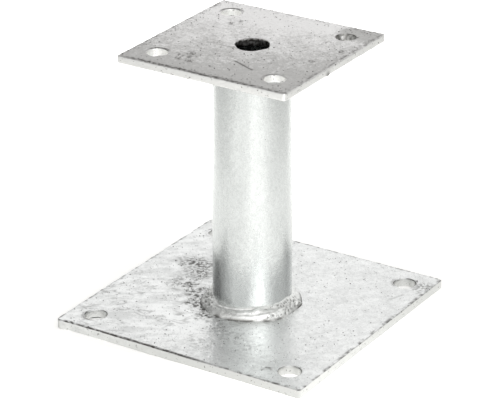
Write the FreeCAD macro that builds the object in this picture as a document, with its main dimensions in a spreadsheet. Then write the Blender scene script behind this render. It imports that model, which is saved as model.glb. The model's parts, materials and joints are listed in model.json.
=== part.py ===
"""Galvanised steel post base: two punched plates welded to the ends of a short length of tube.

The square base plate is anchored to concrete, the smaller head plate carries the foot of a timber
post, and the tube holds the timber clear of the ground. The fabricator lays one fillet weld round
each end of the tube, and then the whole thing is dipped in molten zinc.

Frame: millimetres, +Z up. The origin is on the tube's axis, at the underside of the base plate.
The plates' sides are parallel to X and Y.
"""
import FreeCAD, Part
import Sketcher
import math
import os

# ---------------------------------------------------------------------------------------------
# Driving dimensions. Each has a name and one value. Lengths are in millimetres, angles in degrees.
# ---------------------------------------------------------------------------------------------
DIMENSIONS = [
    # the whole
    ("overall_height", 150.0, "underside of the base plate to the face that the timber stands on"),
    # base plate
    ("base_side", 150.0, "side of the square base plate"),
    ("base_thickness", 5.0, "thickness of the base plate"),
    ("base_hole_diameter", 12.0, "corner holes, for M10 anchor bolts"),
    ("base_hole_inset", 15.0, "from each side of the base plate to the centre of a corner hole"),
    ("drain_hole_diameter", 12.0, "hole under the tube that lets the molten zinc run out"),
    # head plate
    ("head_side", 100.0, "side of the square head plate"),
    ("head_thickness", 4.0, "thickness of the head plate"),
    ("head_hole_diameter", 11.0, "corner holes, for 10 mm coach screws or M10 bolts"),
    ("head_hole_inset", 15.0, "from each side of the head plate to the centre of a corner hole"),
    ("dowel_hole_diameter", 18.0, "centre hole, for a 16 mm dowel or threaded rod in the post"),
    # edges of both plates
    ("corner_radius", 1.2, "sheared corner of a plate, seen from above"),
    ("edge_bevel", 0.4, "narrow bevel that the shear, the punch and the zinc leave on every edge"),
    # tube
    ("tube_diameter", 42.4, "outside diameter of the tube, the standard size for 1 1/4 inch pipe"),
    ("tube_wall", 2.6, "wall of the tube"),
    # welds
    ("base_weld_leg", 6.3, "leg of the fillet weld at the foot of the tube"),
    ("head_weld_leg", 4.6, "leg of the fillet weld under the head plate"),
    ("base_weld_lean", 0.20, "share of its leg by which the base weld climbs the tube on one side"),
    ("head_weld_lean", 0.18, "the same share for the head weld"),
    ("base_weld_lean_angle", 60.0, "direction from the axis in which the base weld climbs most"),
    ("head_weld_lean_angle", 80.0, "the same direction for the head weld"),
    ("base_weld_stop_angle", 8.0, "where the base weld ends on its own start, in a thicker lump"),
    ("head_weld_stop_angle", 250.0, "the same place on the head weld"),
    ("weld_stop_swell", 0.18, "share of its leg by which a weld is thicker at that lump"),
    ("weld_stop_width", 11.0, "half width of the lump, as an angle round the tube"),
    ("weld_roundness", 1.4, "radius of a bead's face, as a multiple of its leg"),
    ("weld_unevenness", 0.035, "share of its leg by which one pool differs from the next"),
    ("ripple_pitch", 5.0, "length of tube that each pause of the torch covers"),
    ("ripple_depth", 0.4, "how far the bead's face dips between two pauses"),
]

doc = FreeCAD.newDocument("post_base")
sheet = doc.addObject("Spreadsheet::Sheet", "Sizes")
for row, (alias, value, meaning) in enumerate(DIMENSIONS, start=1):
    sheet.set(f"A{row}", str(value))
    sheet.setAlias(f"A{row}", alias)
    sheet.set(f"B{row}", meaning)
doc.recompute()


def size(alias):
    """The value of one cell of the sheet."""
    return float(sheet.get(alias))


# ---------------------------------------------------------------------------------------------
# Sketches on a body's own planes
# ---------------------------------------------------------------------------------------------
def origin_feature(body, role):
    """The origin plane or axis of a body that has that role, such as XY_Plane or Z_Axis."""
    return next(item for item in body.Origin.OriginFeatures if item.Role == role)


def sketch_on_xy(body, name):
    sketch = body.newObject("Sketcher::SketchObject", name)
    sketch.AttachmentSupport = [(origin_feature(body, "XY_Plane"), "")]
    sketch.MapMode = "FlatFace"
    return sketch


def add_size(sketch, constraint, expression):
    """Adds a constraint that holds a length, and binds the length to the sheet."""
    index = sketch.addConstraint(constraint)
    sketch.setExpression(f"Constraints[{index}]", expression)


def draw_square(sketch, side_alias):
    """A square about the sketch's origin."""
    half = size(side_alias) / 2
    corners = [(-half, -half), (half, -half), (half, half), (-half, half)]
    for start, end in zip(corners, corners[1:] + corners[:1]):
        line = Part.LineSegment(FreeCAD.Vector(*start, 0), FreeCAD.Vector(*end, 0))
        sketch.addGeometry(line, False)
    for edge in range(4):
        sketch.addConstraint(Sketcher.Constraint("Coincident", edge, 2, (edge + 1) % 4, 1))
        direction = "Horizontal" if edge % 2 == 0 else "Vertical"
        sketch.addConstraint(Sketcher.Constraint(direction, edge))
    origin_point = (-1, 1)
    sketch.addConstraint(Sketcher.Constraint("Symmetric", 0, 1, 2, 1, *origin_point))
    add_size(sketch, Sketcher.Constraint("DistanceX", 0, 1, 0, 2, 2 * half), f"Sizes.{side_alias}")
    add_size(sketch, Sketcher.Constraint("DistanceY", 1, 1, 1, 2, 2 * half), f"Sizes.{side_alias}")


def draw_centre_circle(sketch, diameter, expression):
    """A circle about the sketch's origin."""
    circle = Part.Circle(FreeCAD.Vector(0, 0, 0), FreeCAD.Vector(0, 0, 1), diameter / 2)
    index = sketch.addGeometry(circle, False)
    sketch.addConstraint(Sketcher.Constraint("Coincident", index, 3, -1, 1))
    add_size(sketch, Sketcher.Constraint("Diameter", index, diameter), expression)


def draw_corner_circle(sketch, side_alias, inset_alias, diameter_alias):
    """A circle at the corner hole in +X and +Y."""
    reach = size(side_alias) / 2 - size(inset_alias)
    centre = FreeCAD.Vector(reach, reach, 0)
    circle = Part.Circle(centre, FreeCAD.Vector(0, 0, 1), size(diameter_alias) / 2)
    index = sketch.addGeometry(circle, False)
    reach_expression = f"Sizes.{side_alias} / 2 - Sizes.{inset_alias}"
    add_size(sketch, Sketcher.Constraint("DistanceX", -1, 1, index, 3, reach), reach_expression)
    add_size(sketch, Sketcher.Constraint("DistanceY", -1, 1, index, 3, reach), reach_expression)
    diameter = Sketcher.Constraint("Diameter", index, size(diameter_alias))
    add_size(sketch, diameter, f"Sizes.{diameter_alias}")


# ---------------------------------------------------------------------------------------------
# Plates
# ---------------------------------------------------------------------------------------------
FLAT = 1e-6  # height under which an edge lies in a plane


def pad(body, sketch, name, length_expression):
    feature = body.newObject("PartDesign::Pad", name)
    feature.Profile = sketch
    feature.setExpression("Length", length_expression)
    doc.recompute()
    return feature


def punch(body, sketch, name):
    """A hole right through the plate. The plate lies above the sketch, so the cut goes up."""
    feature = body.newObject("PartDesign::Pocket", name)
    feature.Profile = sketch
    feature.Type = "ThroughAll"
    feature.Reversed = True
    volume_before = body.Shape.Volume
    doc.recompute()
    assert body.Shape.Volume < volume_before, f"{name} cuts nothing"
    return feature


def dress_edges(body, name, kind, wanted, size_property, alias):
    """A fillet or chamfer on those edges of the body's last feature that the function wanted picks."""
    base = body.Tip
    edges = [f"Edge{n}" for n, edge in enumerate(base.Shape.Edges, start=1) if wanted(edge)]
    feature = body.newObject(kind, name)
    feature.Base = (base, edges)
    feature.setExpression(size_property, f"Sizes.{alias}")
    doc.recompute()
    return feature


def is_upright(edge):
    """A straight edge along Z, which on a square blank is one of its corners."""
    return edge.BoundBox.ZLength > edge.BoundBox.DiagonalLength / 2


def is_level(edge):
    """An edge of one of the plate's two faces: its outline, or the rim of a hole."""
    return edge.BoundBox.ZLength < FLAT


def plate(label, kind, centre_hole_alias):
    """A square plate with one punched hole near each corner and one in the middle.

    Its underside is in the body's XY plane. kind is the start of its sizes' names.
    """
    body = doc.addObject("PartDesign::Body", label)
    body.Label = label

    outline = sketch_on_xy(body, f"{label}_outline")
    draw_square(outline, f"{kind}_side")
    pad(body, outline, f"{label}_blank", f"Sizes.{kind}_thickness")
    corners = f"{label}_corners"
    dress_edges(body, corners, "PartDesign::Fillet", is_upright, "Radius", "corner_radius")

    corner = sketch_on_xy(body, f"{label}_corner_circle")
    draw_corner_circle(corner, f"{kind}_side", f"{kind}_hole_inset", f"{kind}_hole_diameter")
    corner_hole = punch(body, corner, f"{label}_corner_hole")
    pattern = body.newObject("PartDesign::PolarPattern", f"{label}_corner_holes")
    pattern.Originals = [corner_hole]
    pattern.Axis = (origin_feature(body, "Z_Axis"), [""])
    pattern.Angle = 360
    pattern.Occurrences = 4
    body.Tip = pattern
    doc.recompute()

    centre = sketch_on_xy(body, f"{label}_centre_circle")
    draw_centre_circle(centre, size(centre_hole_alias), f"Sizes.{centre_hole_alias}")
    punch(body, centre, f"{label}_centre_hole")
    dress_edges(body, f"{label}_edges", "PartDesign::Chamfer", is_level, "Size", "edge_bevel")
    return body


# ---------------------------------------------------------------------------------------------
# Tube
# ---------------------------------------------------------------------------------------------
def tube(label):
    """The length of tube that stands between the two plates, cut square at both ends."""
    body = doc.addObject("PartDesign::Body", label)
    body.Label = label
    section = sketch_on_xy(body, f"{label}_section")
    outside = size("tube_diameter")
    bore = outside - 2 * size("tube_wall")
    draw_centre_circle(section, outside, "Sizes.tube_diameter")
    draw_centre_circle(section, bore, "Sizes.tube_diameter - 2 * Sizes.tube_wall")
    length = "Sizes.overall_height - Sizes.base_thickness - Sizes.head_thickness"
    pad(body, section, f"{label}_length", length)
    return body


# ---------------------------------------------------------------------------------------------
# Welds
#
# A fillet weld fills the corner between the tube and a plate. Seen in section, one leg lies on the
# plate, the other climbs the tube, and a full, rounded face joins their ends, the toes. The welder
# works round the tube in short pauses, and each pause leaves a pool of metal that overlaps the one
# before, so that the face is a row of ripples. The hand isn't quite even, the bead leans to the tube
# on one side and to the plate on the other, and it ends on its own start, in a lump.
#
# Each pool is a barrel that lies along the bead: two short cones, base to base, whose widest circle
# passes through both toes. The barrels are fused into a ring, and the room that the tube and the
# plate fill is cut away, so that the bead meets both face to face.
# ---------------------------------------------------------------------------------------------
UNEVEN_TURN = 2.4  # radians between two pools in the wave of the hand, so that it never repeats
POOL_REACH = 0.8  # how far a pool reaches each way, as a share of the step to the next one


def smallest_turn(angle):
    """The same angle between -180 and 180 degrees."""
    return (angle + 180) % 360 - 180


def bead_legs(kind, around, number):
    """(leg on the plate, leg on the tube) of the pool of that number, at an angle round the tube."""
    hand = 1 + size("weld_unevenness") * math.sin(UNEVEN_TURN * number)
    leg = size(f"{kind}_weld_leg") * hand
    lean = size(f"{kind}_weld_lean") * math.cos(math.radians(around - size(f"{kind}_weld_lean_angle")))
    from_stop = smallest_turn(around - size(f"{kind}_weld_stop_angle")) / size("weld_stop_width")
    swell = 1 + size("weld_stop_swell") * math.exp(-from_stop**2)
    return leg * (1 - lean) * swell, leg * (1 + lean) * swell


def pool_centre(kind, on_plate, on_tube):
    """(distance outwards from the tube, height over the plate) of a pool's centre.

    The centre lies behind the line from toe to toe, by as much as the face's radius needs.
    """
    between_toes = math.hypot(on_plate, on_tube)
    radius = size(f"{kind}_weld_leg") * size("weld_roundness")
    behind = math.sqrt(radius**2 - (between_toes / 2) ** 2)
    out = on_plate / 2 - behind * on_tube / between_toes
    up = on_tube / 2 - behind * on_plate / between_toes
    return out, up


def pool_halves(label, kind, number, pools):
    """The two cones of one pool. Their seams are turned to the root of the corner, which hides them."""
    around = 360 * number / pools
    on_plate, on_tube = bead_legs(kind, around, number)
    out, up = pool_centre(kind, on_plate, on_tube)
    turn = math.radians(around)
    outwards = FreeCAD.Vector(math.cos(turn), math.sin(turn), 0)
    upwards = FreeCAD.Vector(0, 0, 1)
    tube_radius = size("tube_diameter") / 2
    centre = outwards * (tube_radius + out) + upwards * up
    to_root = -(outwards + upwards)
    step = 2 * math.pi * (tube_radius + on_plate) / pools

    wide = f"Sizes.{kind}_weld_leg * Sizes.weld_roundness"
    narrow = f"{wide} - Sizes.ripple_depth * {POOL_REACH} / 0.5"
    halves = []
    for way, along in (("back", outwards.cross(upwards)), ("front", upwards.cross(outwards))):
        cone = doc.addObject("Part::Cone", f"{label}_pool_{number + 1}_{way}")
        cone.setExpression("Radius1", wide)
        cone.setExpression("Radius2", narrow)
        cone.Height = POOL_REACH * step
        frame = FreeCAD.Rotation(to_root, FreeCAD.Vector(), along, "ZXY")
        cone.Placement = FreeCAD.Placement(centre, frame)
        halves.append(cone)
    return halves


def room(name, radius_expression, height_expression, bottom_expression):
    """A cylinder about the tube's axis that stands for the room that another piece fills."""
    cylinder = doc.addObject("Part::Cylinder", name)
    cylinder.setExpression("Radius", radius_expression)
    cylinder.setExpression("Height", height_expression)
    cylinder.setExpression("Placement.Base.z", bottom_expression)
    return cylinder


def weld(label, kind):
    """A fillet weld round the tube, with its leg on the plate in the XY plane and its face up."""
    pools = max(3, round(math.pi * size("tube_diameter") / size("ripple_pitch")))
    ring = doc.addObject("Part::MultiFuse", f"{label}_ring")
    ring.Shapes = [half for number in range(pools) for half in pool_halves(label, kind, number, pools)]

    # Both rooms reach further than any pool does.
    reach = f"4 * Sizes.{kind}_weld_leg * Sizes.weld_roundness"
    tube_radius = "Sizes.tube_diameter / 2"
    tube_room = room(f"{label}_tube_room", tube_radius, f"2 * {reach}", f"-{reach}")
    plate_room = room(f"{label}_plate_room", f"{tube_radius} + {reach}", reach, f"-{reach}")
    rooms = doc.addObject("Part::MultiFuse", f"{label}_rooms")
    rooms.Shapes = [tube_room, plate_room]

    bead = doc.addObject("Part::Cut", label)
    bead.Label = label
    bead.Base = ring
    bead.Tool = rooms
    doc.recompute()
    return bead


# ---------------------------------------------------------------------------------------------
# Assembly
# ---------------------------------------------------------------------------------------------
base_plate = plate("base_plate", "base", "drain_hole_diameter")
head_plate = plate("head_plate", "head", "dowel_hole_diameter")
tube_post = tube("tube")
base_weld = weld("base_weld", "base")
head_weld = weld("head_weld", "head")

tube_post.setExpression("Placement.Base.z", "Sizes.base_thickness")
head_plate.setExpression("Placement.Base.z", "Sizes.overall_height - Sizes.head_thickness")
foot_of_tube = FreeCAD.Vector(0, 0, size("base_thickness"))
top_of_tube = FreeCAD.Vector(0, 0, size("overall_height") - size("head_thickness"))
upside_down = FreeCAD.Rotation(FreeCAD.Vector(1, 0, 0), 180)
base_weld.Placement = FreeCAD.Placement(foot_of_tube, FreeCAD.Rotation())
head_weld.Placement = FreeCAD.Placement(top_of_tube, upside_down)
doc.recompute()

# ---------------------------------------------------------------------------------------------
# Checks and files
# ---------------------------------------------------------------------------------------------
SUB_PARTS = [base_plate, tube_post, head_plate, base_weld, head_weld]

failed = [item.Name for item in doc.Objects if {"Invalid", "Error"} & set(item.State)]
if failed:
    raise RuntimeError(f"these objects did not build: {failed}")

os.makedirs("parts", exist_ok=True)
for part in SUB_PARTS:
    shape = part.Shape
    if shape.isNull() or not shape.isValid() or shape.Volume <= 0:
        raise RuntimeError(f"{part.Label} has no valid solid")
    shape.exportStep(f"parts/{part.Label}.step")
    print(f"{part.Label}: {len(shape.Solids)} solid, {shape.Volume / 1000:.2f} cm3, {len(shape.Faces)} faces")
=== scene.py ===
# %% [markdown]
# # A hot-dip galvanised post base
#
# The object is a welded steel foot for a timber post: a square base plate, a short tube, a smaller
# head plate, and one fillet weld round each end of the tube. After welding, the whole foot was
# dipped in molten zinc. So every surface shows the same metal, and its shape comes from how that
# metal ran, pooled and froze: rounded edges, shallow waves, small lumps of dross, and a skin of zinc
# over each weld. This lesson builds those surfaces round the plain solids of the CAD model.

# %% Load the fixed frame
import json
import math

import bmesh
import bpy
import numpy as np
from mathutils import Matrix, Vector, geometry, noise


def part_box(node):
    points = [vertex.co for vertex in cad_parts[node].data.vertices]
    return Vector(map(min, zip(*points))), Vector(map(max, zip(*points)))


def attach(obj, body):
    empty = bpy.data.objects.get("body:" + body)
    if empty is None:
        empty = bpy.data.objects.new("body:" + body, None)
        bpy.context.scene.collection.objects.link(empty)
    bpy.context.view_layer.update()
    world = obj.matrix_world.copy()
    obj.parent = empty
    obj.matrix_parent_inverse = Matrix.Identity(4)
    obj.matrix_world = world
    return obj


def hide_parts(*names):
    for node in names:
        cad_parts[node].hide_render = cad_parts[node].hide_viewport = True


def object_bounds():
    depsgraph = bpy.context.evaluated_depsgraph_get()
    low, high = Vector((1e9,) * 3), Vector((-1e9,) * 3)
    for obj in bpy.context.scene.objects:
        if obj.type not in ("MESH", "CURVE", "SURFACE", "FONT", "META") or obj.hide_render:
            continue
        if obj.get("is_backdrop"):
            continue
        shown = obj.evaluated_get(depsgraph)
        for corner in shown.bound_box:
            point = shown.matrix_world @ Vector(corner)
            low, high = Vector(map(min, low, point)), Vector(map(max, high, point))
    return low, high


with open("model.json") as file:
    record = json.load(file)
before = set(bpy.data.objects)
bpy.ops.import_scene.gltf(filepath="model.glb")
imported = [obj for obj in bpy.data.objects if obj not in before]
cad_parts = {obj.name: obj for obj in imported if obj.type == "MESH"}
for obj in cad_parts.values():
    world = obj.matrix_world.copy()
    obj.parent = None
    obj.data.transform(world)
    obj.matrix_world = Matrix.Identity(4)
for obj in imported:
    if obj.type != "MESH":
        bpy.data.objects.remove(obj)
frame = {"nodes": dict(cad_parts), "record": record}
cad_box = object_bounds()
MM = 0.001  # one millimetre in Blender's metres
print("nodes of the frame:", sorted(frame["nodes"]))


# %% [markdown]
# ## Two helpers
#
# Node trees are easier to read when each node is one line. `add` makes a node, sets its properties
# and fills its inputs, with a value or with another node's output. `colour` turns a hex code, which
# is how finishes are usually written down, into the linear numbers that Blender calculates with.

# %% Node and colour helpers
def add(tree, kind, inputs=None, **settings):
    """Adds a node of that kind. inputs maps a socket's name or number to a value or to an output."""
    node = tree.nodes.new(kind)
    for name, value in settings.items():
        setattr(node, name, value)
    for key, value in (inputs or {}).items():
        if isinstance(value, bpy.types.NodeSocket):
            tree.links.new(value, node.inputs[key])
        else:
            node.inputs[key].default_value = value
    return node


def colour(code):
    """An sRGB hex code, such as 'C8CCCE', as linear RGBA."""
    parts = [int(code[i:i + 2], 16) / 255 for i in (0, 2, 4)]
    linear = [c / 12.92 if c <= 0.04045 else ((c + 0.055) / 1.055) ** 2.4 for c in parts]
    return (*linear, 1.0)


print("mid grey 808080 is", round(colour("808080")[0], 3), "in linear light")

# %% [markdown]
# ## Sizes from the frame
#
# Nothing is measured twice. The plates, the tube and the welds stand where the CAD model has them,
# so their boxes give the outer sizes, and the record's mounts give the holes for the bolts. The
# rest of this script counts in millimetres and changes to metres when a mesh is made.

# %% Read the sizes
def box_mm(node):
    """Lowest and highest corner of a CAD node, in millimetres."""
    low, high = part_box(node)
    return np.array(low) / MM, np.array(high) / MM


def innermost_mm(node):
    """Radius of the hole round the Z axis in a CAD node, in millimetres."""
    points = np.array([v.co for v in frame["nodes"][node].data.vertices]) / MM
    return np.hypot(points[:, 0], points[:, 1]).min()


mounts = {mount["name"]: mount for mount in frame["record"]["mounts"]}
base_low, base_high = box_mm("base_plate")
head_low, head_high = box_mm("head_plate")
tube_radius = box_mm("tube")[1][0]
tube_bore = innermost_mm("tube")
print("tube", round(2 * tube_radius, 1), "mm outside,", round(2 * tube_bore, 1), "mm inside")

# %% [markdown]
# ## Camera
#
# The camera stands a good metre away with a long lens, as for a catalogue, so that the plates keep
# nearly parallel sides. It looks down at the foot from the side of one corner.

# %% Camera
AZIMUTH, ELEVATION = math.radians(32.12), math.radians(23.64)
DISTANCE = 1.3206  # metres
LENS, SENSOR = 181.4, 36  # both in millimetres
AIM_DOWN, AIM_LEFT = 11.08, 1.24  # millimetres from the middle of the object
back = Vector((math.sin(AZIMUTH) * math.cos(ELEVATION),
               -math.cos(AZIMUTH) * math.cos(ELEVATION), math.sin(ELEVATION)))
right = Vector((math.cos(AZIMUTH), math.sin(AZIMUTH), 0))
up = back.cross(right)
middle = Vector((0, 0, head_high[2] * MM / 2))
aim = -AIM_DOWN * MM * up - AIM_LEFT * MM * right

camera = bpy.data.objects.new("camera", bpy.data.cameras.new("camera"))
camera.data.lens = LENS
camera.data.sensor_width = SENSOR
camera.data.clip_end = 20
camera.location = middle + DISTANCE * back
camera.rotation_euler = (middle + aim - camera.location).to_track_quat("-Z", "Y").to_euler()
bpy.context.scene.collection.objects.link(camera)
bpy.context.scene.camera = camera
print("camera at", [round(c, 3) for c in camera.location], "with a lens of", LENS, "mm")

# %% [markdown]
# ## Studio
#
# Bare zinc has hardly any colour of its own: it shows the room. A high-key set gives it a white
# table and a grey room with a few large, soft, bright areas. Here the room is the world's shader.
# Each soft area is a direction, a width and a strength: the closer a ray points to that direction,
# the brighter it finds the room. Area lamps would do too, but a world of soft areas has no noise and
# no hard corners in its reflections. One side is left dark, so that the tube has a dark band.

# %% World with soft areas of light
ROOM = 0.05
SOFT_AREAS = [  # name, compass angle from +X, height over the horizon, half width, strength
    ("backdrop", 118, 24, 52, 1.03),
    ("softbox beside the camera", -38, 14, 34, 1.20),
    ("window behind the camera", -82, 24, 87, 0.95),
    ("fill on the right", 8, 24, 70, 0.66),
    ("panel overhead", 75, 62, 42, 0.55),
]

world = bpy.data.worlds.new("grey studio with soft white areas")
world.use_nodes = True
bpy.context.scene.world = world
tree = world.node_tree
ray = add(tree, "ShaderNodeTexCoord").outputs["Generated"]
total = None
for name, compass, height, width, strength in SOFT_AREAS:
    compass, height = math.radians(compass), math.radians(height)
    towards = (math.cos(height) * math.cos(compass), math.cos(height) * math.sin(compass),
               math.sin(height))
    closeness = add(tree, "ShaderNodeVectorMath", {0: ray, 1: towards}, operation="DOT_PRODUCT")
    glow = add(tree, "ShaderNodeMapRange", {"Value": closeness.outputs["Value"],
               "From Min": math.cos(math.radians(width)), "From Max": 1.0, "To Min": 0.0,
               "To Max": strength},
               interpolation_type="SMOOTHSTEP", label=name)
    total = glow.outputs[0] if total is None else add(
        tree, "ShaderNodeMath", {0: total, 1: glow.outputs[0]}, operation="ADD").outputs[0]
total = add(tree, "ShaderNodeMath", {0: total, 1: ROOM}, operation="ADD").outputs[0]
background = tree.nodes["Background"]
tree.links.new(total, background.inputs["Strength"])
background.inputs["Color"].default_value = colour("FFFFFF")

view = bpy.context.scene.view_settings
view.view_transform = "Standard"
view.exposure = 0.0
print(len(SOFT_AREAS), "soft areas in a room of brightness", ROOM)

# %% [markdown]
# ## Light table
#
# Small goods are often shot on a sheet of opal acrylic that is lit from below, because it swallows
# their shadows. One big lamp under the sheet would light every side of the object alike. Five small
# ones leave quieter places between them, and the tube mirrors those as its soft grey bands.

# %% White table
TABLE = 3.0  # half its side, in metres
UNDER = -0.05 * MM  # a hair below the foot, so that the two faces never coincide
LAMPS = [  # name, angle from the view, distance, half width and half depth in metres, strength
    ("strip lamp", 0, 0.0, (0.42, 3.2), 0.44),
    ("spot in front", -50, 0.22, (0.12, 0.30), 0.34),
    ("lamp on the left", -100, 0.31, (0.14, 0.18), 0.14),
    ("lamp on the right", -28, 0.33, (0.11, 0.18), 0.16),
    ("glow behind", 122, 0.36, (0.44, 0.32), 0.80),
]

corners = [(-TABLE, -TABLE), (TABLE, -TABLE), (TABLE, TABLE), (-TABLE, TABLE)]
table_mesh = bpy.data.meshes.new("table")
table_mesh.from_pydata([(x, y, UNDER) for x, y in corners], [], [(0, 1, 2, 3)])
table = bpy.data.objects.new("table", table_mesh)
bpy.context.scene.collection.objects.link(table)

# Opal acrylic is a milky cast sheet. It gives the eye an even white with no gloss worth seeing.
opal = bpy.data.materials.new("opal acrylic light table")
opal.use_nodes = True
tree = opal.node_tree
shader = tree.nodes["Principled BSDF"]
shader.inputs["Base Color"].default_value = colour("E2E2E0")
shader.inputs["Roughness"].default_value = 0.9
shader.inputs["Specular IOR Level"].default_value = 0.1
shader.inputs["Emission Color"].default_value = colour("FFFEFC")
place = add(tree, "ShaderNodeTexCoord").outputs["Object"]
lamps = None
for name, compass, away, size, strength in LAMPS:
    turn = math.radians(compass)
    centre = (away * math.cos(turn), away * math.sin(turn), 0)
    local = add(tree, "ShaderNodeMapping", {"Vector": place, "Location": centre,
                "Rotation": (0, 0, AZIMUTH), "Scale": (*size, 1)}, vector_type="TEXTURE")
    distance = add(tree, "ShaderNodeVectorMath", {0: local.outputs[0]}, operation="LENGTH")
    glow = add(tree, "ShaderNodeMapRange", {"Value": distance.outputs["Value"], "From Min": 0.35,
               "From Max": 1.0, "To Min": strength, "To Max": 0.0},
               interpolation_type="SMOOTHSTEP", label=name)
    lamps = glow.outputs[0] if lamps is None else add(
        tree, "ShaderNodeMath", {0: lamps, 1: glow.outputs[0]}, operation="ADD").outputs[0]
tree.links.new(lamps, shader.inputs["Emission Strength"])
table_mesh.materials.append(opal)
table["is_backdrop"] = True
print("table", 2 * TABLE, "m across, with", len(LAMPS), "lamps under it")

# %% [markdown]
# ## Hot-dip zinc
#
# The bath leaves a coat a tenth of a millimetre thick. Where it froze fast it is bright and smooth.
# Where the iron kept on reacting with it, it is dull. Seen close, the colour drifts between a pale
# and a duller grey over a centimetre or two, with finer mottling of a few millimetres, and carries
# tiny dark specks of dross. All of that comes from noise on the object's own coordinates, so that
# the pattern is fixed to the metal. The widths are those of the real coat, apart from the grain:
# its crystals are a few tenths of a millimetre wide, too fine to show from here, so they are drawn
# about a millimetre wide. The finish differs a little from piece to piece, so one function builds
# it and each piece gets its own settings.

# %% The zinc material
def zinc(name, pale, dull, rim, speck_and_shade, cloud, mottle, grain, shine, dullness, rise, streaks=1.0,
         specks=0.65):
    """Hot-dip zinc: the pale and dull colours of the clouds, the colour painted on walls and rolled
    edges for the light and shade they catch, and the colour of dross specks, stains and painted shade.

    cloud, mottle and grain are widths and rise is a height, all in millimetres. shine and dullness
    are the two roughnesses. streaks is how far the clouds are drawn out along Z, and specks is how
    high the grain's noise has to rise to make a speck.
    """
    material = bpy.data.materials.new(name)
    material.use_nodes = True
    tree = material.node_tree
    shader = tree.nodes["Principled BSDF"]
    place = add(tree, "ShaderNodeTexCoord").outputs["Object"]
    along = add(tree, "ShaderNodeMapping", {"Vector": place, "Scale": (1, 1, 1 / streaks)}).outputs[0]
    clouds = add(tree, "ShaderNodeTexNoise", {"Vector": along, "Scale": 1 / (cloud * MM),
                 "Detail": 3.0, "Roughness": 0.6, "Distortion": 0.6})
    mottling = add(tree, "ShaderNodeTexNoise", {"Vector": along, "Scale": 1 / (mottle * MM),
                   "Detail": 4.0, "Roughness": 0.65, "Distortion": 0.3})
    grains = add(tree, "ShaderNodeTexNoise", {"Vector": place, "Scale": 1 / (grain * MM),
                 "Detail": 2.0})
    tone = add(tree, "ShaderNodeAttribute", attribute_name="tone")
    paler = add(tree, "ShaderNodeMath", {0: clouds.outputs["Fac"], 1: 0.6, 2: 0.0},
                operation="MULTIPLY_ADD")
    for noise_node, weight in ((mottling, 0.8), (grains, 0.9)):
        paler = add(tree, "ShaderNodeMath", {0: noise_node.outputs["Fac"], 1: weight,
                    2: paler.outputs[0]}, operation="MULTIPLY_ADD")
    shifted = add(tree, "ShaderNodeMath", {0: paler.outputs[0], 1: tone.outputs["Fac"]},
                  operation="SUBTRACT")
    # the three weighted noises add up to between these two numbers nearly everywhere
    share = add(tree, "ShaderNodeMapRange", {"Value": shifted.outputs[0], "From Min": 0.89,
                "From Max": 1.41})
    metal = add(tree, "ShaderNodeMix", {"Factor": share.outputs[0], 6: colour(dull), 7: colour(pale)},
                data_type="RGBA")
    # Painted light and shade: the edge attribute gives walls and rolled edges the rim colour.
    edge = add(tree, "ShaderNodeAttribute", attribute_name="edge")
    rimmed = add(tree, "ShaderNodeMix", {"Factor": edge.outputs["Fac"], 6: metal.outputs[2],
                 7: colour(rim)}, data_type="RGBA")
    dots = add(tree, "ShaderNodeMapRange", {"Value": grains.outputs["Fac"], "From Min": specks,
               "From Max": specks + 0.06, "To Max": 0.65})
    # Real stains and painted shade come in one attribute, and both take the speck colour.
    stain_and_shade = add(tree, "ShaderNodeAttribute", attribute_name="stain_and_shade")
    marks = add(tree, "ShaderNodeMath", {0: dots.outputs[0], 1: stain_and_shade.outputs["Fac"]},
                operation="MAXIMUM", use_clamp=True)
    tinted = add(tree, "ShaderNodeMix", {"Factor": marks.outputs[0], 6: rimmed.outputs[2],
                 7: colour(speck_and_shade)}, data_type="RGBA")
    tree.links.new(tinted.outputs[2], shader.inputs["Base Color"])
    gloss = add(tree, "ShaderNodeMapRange", {"Value": mottling.outputs["Fac"], "From Min": 0.3,
                "From Max": 0.7, "To Min": dullness, "To Max": shine})
    tree.links.new(gloss.outputs[0], shader.inputs["Roughness"])
    shader.inputs["Metallic"].default_value = 1.0
    wide = add(tree, "ShaderNodeBump", {"Height": mottling.outputs["Fac"], "Distance": rise * MM,
               "Strength": 0.9})
    fine = add(tree, "ShaderNodeBump", {"Height": grains.outputs["Fac"], "Distance": 0.6 * rise * MM,
               "Strength": 0.9, "Normal": wide.outputs[0]})
    tree.links.new(fine.outputs[0], shader.inputs["Normal"])
    return material


# %% The four finishes
# Hot-rolled plate, dipped and quickly cooled. It gives the eye a pale sheet that mirrors softly,
# with faint clouds as wide as a fingertip and a scatter of dark specks.
# Its rim colour is a painted shade on the walls and rolled edges.
zinc_on_base = zinc("hot_dip_zinc_on_base_plate", pale="F0F1F0", dull="D4D5D4", rim="D9DAD8",
                    speck_and_shade="423F3B", cloud=14, mottle=3.0, grain=1.2, shine=0.26, dullness=0.42,
                    rise=0.20)
# The same plate, but in a duller grey, with stronger clouds. Its rim colour is near white: a
# painted highlight on the walls and rolled edges.
zinc_on_head = zinc("hot_dip_zinc_on_head_plate", pale="DFDEDD", dull="AEADAB", rim="FFFFFD",
                    speck_and_shade="4A4743", cloud=12, mottle=2.6, grain=1.2, shine=0.30, dullness=0.46,
                    rise=0.20)
# Smooth welded pipe, from which the zinc drained evenly. It gives the eye a satin mirror with long,
# faint runs down its side and hardly a speck.
zinc_on_tube = zinc("hot_dip_zinc_on_tube", pale="E3E6E5", dull="D5D8D7", rim="F4F4F2",
                    speck_and_shade="868A8A", cloud=16, mottle=1.7, grain=1.0, shine=0.20, dullness=0.32,
                    rise=0.10, streaks=2.0, specks=0.69)
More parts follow.
